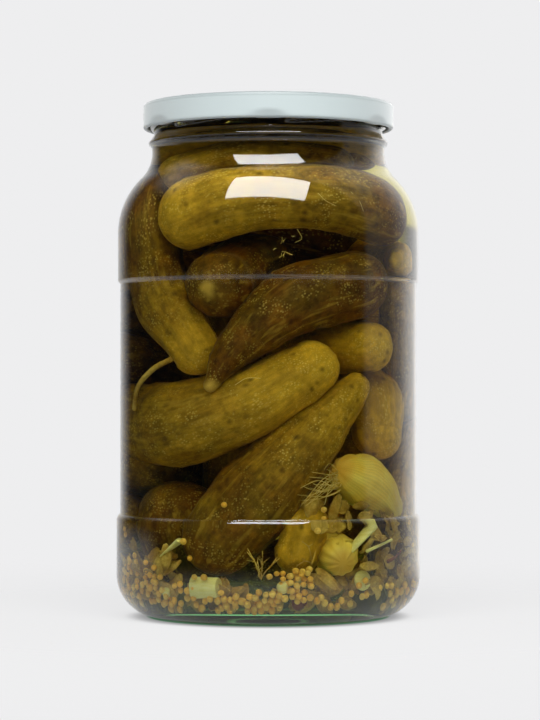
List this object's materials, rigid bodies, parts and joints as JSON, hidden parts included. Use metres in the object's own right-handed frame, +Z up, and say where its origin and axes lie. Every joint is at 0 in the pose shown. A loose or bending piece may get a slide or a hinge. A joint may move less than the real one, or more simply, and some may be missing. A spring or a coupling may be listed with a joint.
{
  "type": "pickle jar",
  "caption": "Large clear glass jar with a recessed label panel and a white twist-off lid, filled with gherkins in brine.",
  "frame": {"origin": "centre of the circle that the jar stands on", "axes": "+Z up along the jar's axis, -Y towards the front"},
  "size_m": [0.137, 0.137, 0.231],
  "materials": {
    "glass": "clear, blown",
    "lid_enamel": "satin white enamel",
    "brine": "clear olive liquid",
    "gherkin": "wet olive skin, warty and mottled",
    "mustard_seed": "wet, pale ochre",
    "herb": "wet dill, soft and brown-green",
    "garlic": "wet, pale yellow"
  },
  "bodies": {
    "root": {"jar": "glass", "lid": "lid_enamel", "brine": "brine"}
  },
  "joints": []
}
